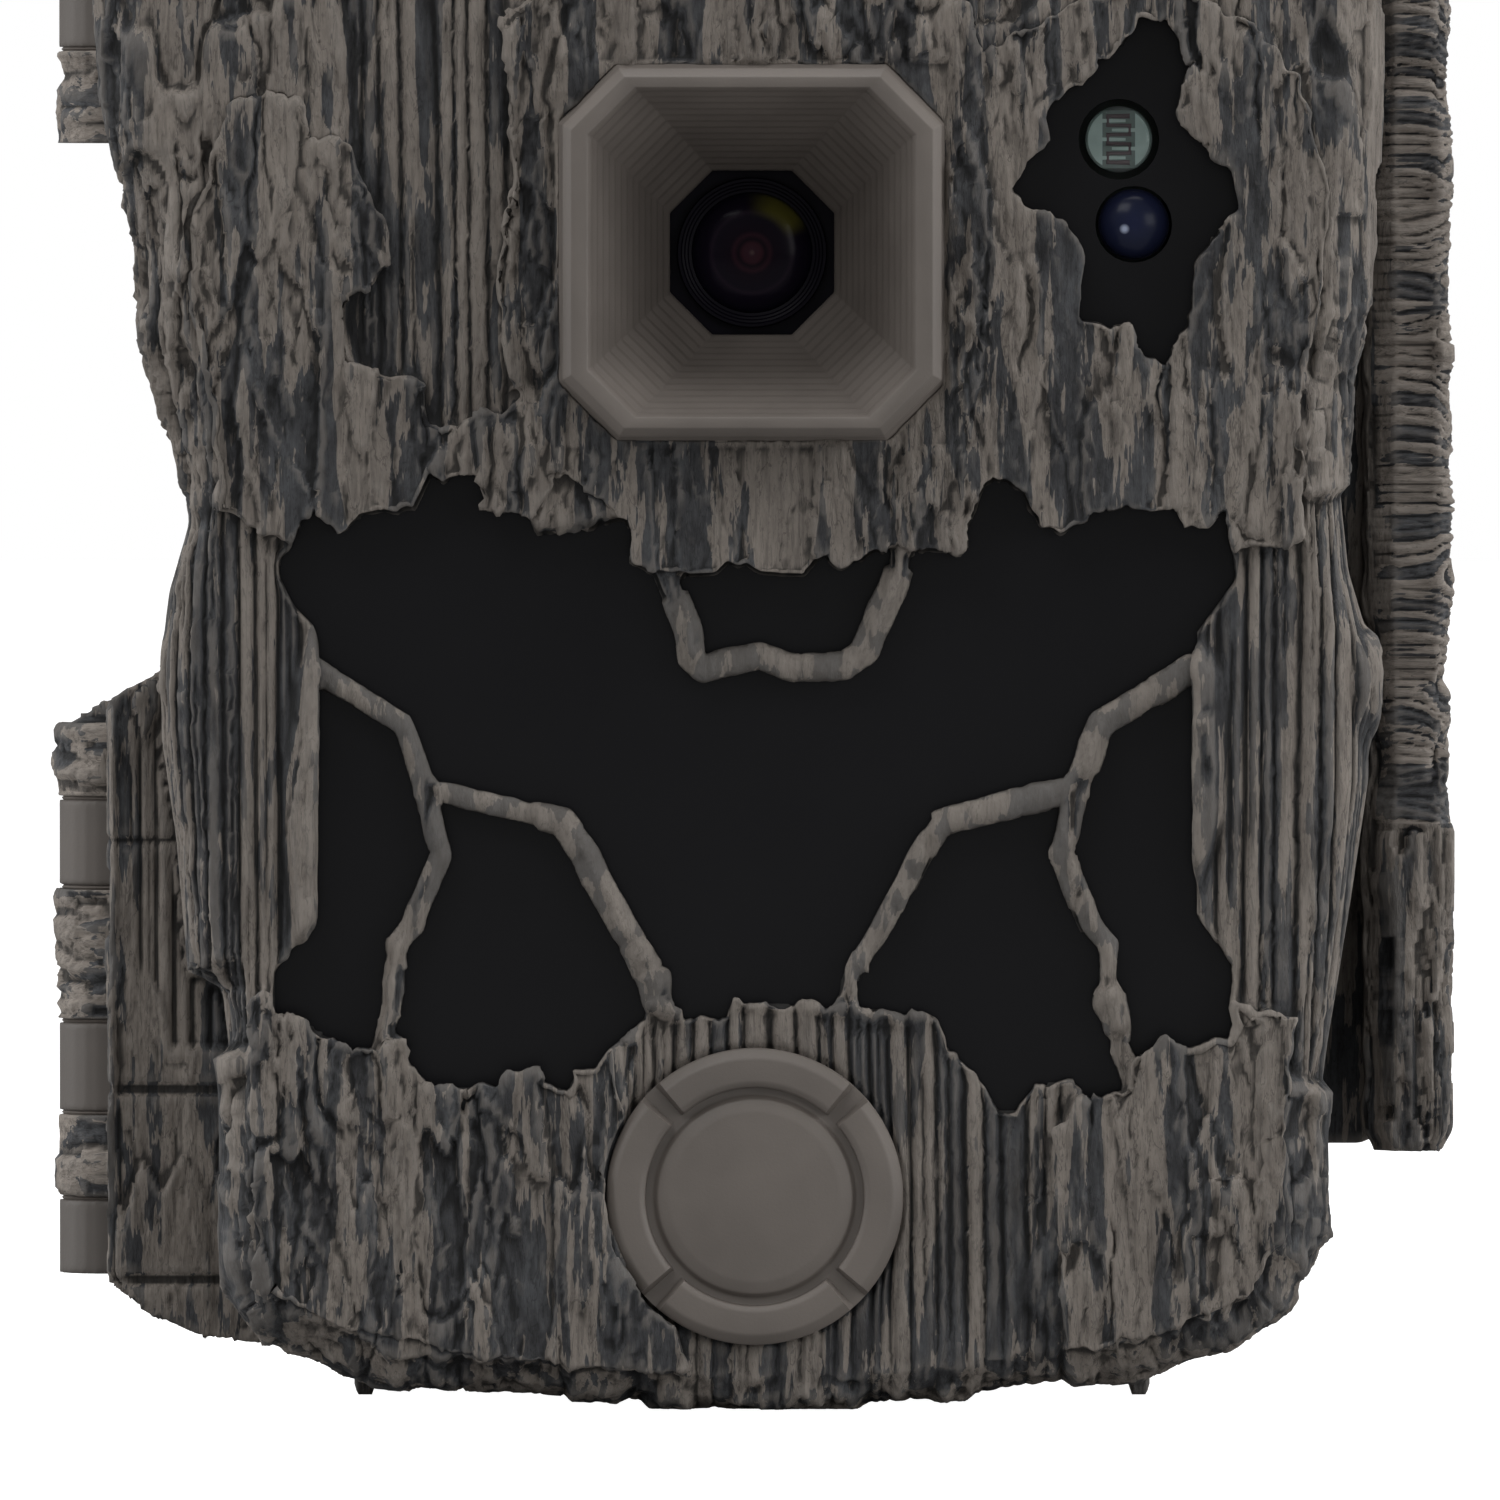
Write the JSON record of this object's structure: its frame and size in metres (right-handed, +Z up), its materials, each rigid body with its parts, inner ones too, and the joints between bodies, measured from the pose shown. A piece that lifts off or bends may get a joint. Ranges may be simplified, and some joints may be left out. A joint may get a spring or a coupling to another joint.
{
  "type": "trail camera",
  "caption": "Trail camera in a bark-relief case that opens on side hinges, with a hooded lens, an infrared window, an inner control panel, a side latch and a tree bracket.",
  "frame": {"origin": "middle of the base: centre of the bounding box in X and Y, lowest point in Z", "axes": "+Z up as the camera stands or hangs on a tree; the lens looks along -Y; +X is to the right as seen by someone facing the lens"},
  "size_m": [0.1046, 0.07, 0.144],
  "materials": {
    "bark": "moulded grey-brown plastic with bark relief and camouflage printing",
    "taupe": "plain satin grey-brown plastic",
    "black_gloss": "dark infrared-passing plastic",
    "black_matte": "matt black plastic",
    "glass": "coated lens glass",
    "blue_led": "clear dark blue epoxy",
    "fresnel": "milky polyethylene",
    "board": "green circuit board",
    "steel": "bright steel",
    "brass": "turned brass",
    "rubber": "black rubber",
    "screen": "glossy screen cover",
    "cell": "steel cell in a printed sleeve",
    "card": "dark blue card"
  },
  "bodies": {
    "rear": {"rear_housing": "bark", "gasket": "rubber", "hinge_leaf_lower": "taupe", "hinge_leaf_upper": "taupe", "hinge_pin_lower": "steel", "hinge_pin_upper": "steel", "battery_tray": "black_matte", "cell_1": "cell", "cell_2": "cell", "cell_3": "cell", "cell_4": "cell", "cell_5": "cell", "cell_6": "cell", "cell_7": "cell", "cell_8": "cell", "contact_strip_bottom": "steel", "contact_strip_top": "steel", "tripod_insert": "brass", "dc_jack": "black_matte", "latch_pin": "steel", "tree_bracket": "taupe", "bracket_screw_1": "steel", "bracket_screw_2": "steel", "bracket_screw_3": "steel", "bracket_screw_4": "steel"},
    "cover": {"front_cover": "bark", "lens_hood": "taupe", "lens_plate": "black_matte", "lens_barrel": "black_matte", "front_lens": "glass", "lens_holder": "black_matte", "sensor_board": "board", "ir_window": "black_gloss", "ir_led_board": "board", "sensor_window": "black_gloss", "photocell": "fresnel", "status_led": "blue_led", "pir_bezel": "taupe", "pir_lens": "fresnel", "pir_sensor": "steel", "badge": "taupe", "inner_panel": "black_matte", "lcd_screen": "screen", "main_board": "board", "sd_socket": "steel", "panel_screw_1": "steel", "panel_screw_2": "steel", "panel_screw_3": "steel", "panel_screw_4": "steel"},
    "button_ok": {"button_ok": "taupe"},
    "button_up": {"button_up": "taupe"},
    "button_down": {"button_down": "taupe"},
    "button_left": {"button_left": "taupe"},
    "button_right": {"button_right": "taupe"},
    "button_menu": {"button_menu": "taupe"},
    "mode_switch": {"mode_switch": "steel"},
    "sd_card": {"sd_card": "card"},
    "port_cover": {"port_cover": "rubber"},
    "latch_lever": {"latch_lever": "bark"}
  },
  "joints": [
    {"name": "cover_hinge", "type": "hinge", "parent": "rear", "child": "cover", "pos_m": [-0.048, 0, 0.072], "axis": [0, 0, -1], "range_deg": [0, 120]},
    {"name": "latch_pivot", "type": "hinge", "parent": "rear", "child": "latch_lever", "pos_m": [0.04925, 0.014, 0.072], "axis": [0, 0, 1], "range_deg": [0, 70]},
    {"name": "port_cover_fold", "type": "hinge", "parent": "rear", "child": "port_cover", "pos_m": [0.0094, 0.012, 0.0054], "axis": [0, 1, 0], "range_deg": [0, 90]},
    {"name": "button_ok_press", "type": "slide", "parent": "cover", "child": "button_ok", "axis": [0, -1, 0], "range_m": [0, 0.0006], "stiffness_N_per_m": 300},
    {"name": "button_up_press", "type": "slide", "parent": "cover", "child": "button_up", "axis": [0, -1, 0], "range_m": [0, 0.0006], "stiffness_N_per_m": 300},
    {"name": "button_down_press", "type": "slide", "parent": "cover", "child": "button_down", "axis": [0, -1, 0], "range_m": [0, 0.0006], "stiffness_N_per_m": 300},
    {"name": "button_left_press", "type": "slide", "parent": "cover", "child": "button_left", "axis": [0, -1, 0], "range_m": [0, 0.0006], "stiffness_N_per_m": 300},
    {"name": "button_right_press", "type": "slide", "parent": "cover", "child": "button_right", "axis": [0, -1, 0], "range_m": [0, 0.0006], "stiffness_N_per_m": 300},
    {"name": "button_menu_press", "type": "slide", "parent": "cover", "child": "button_menu", "axis": [0, -1, 0], "range_m": [0, 0.0006], "stiffness_N_per_m": 300},
    {"name": "mode_switch_slide", "type": "slide", "parent": "cover", "child": "mode_switch", "axis": [1, 0, 0], "range_m": [-0.003, 0.003]},
    {"name": "sd_card_slide", "type": "slide", "parent": "cover", "child": "sd_card", "axis": [0, 0, -1], "range_m": [0, 0.026]}
  ]
}
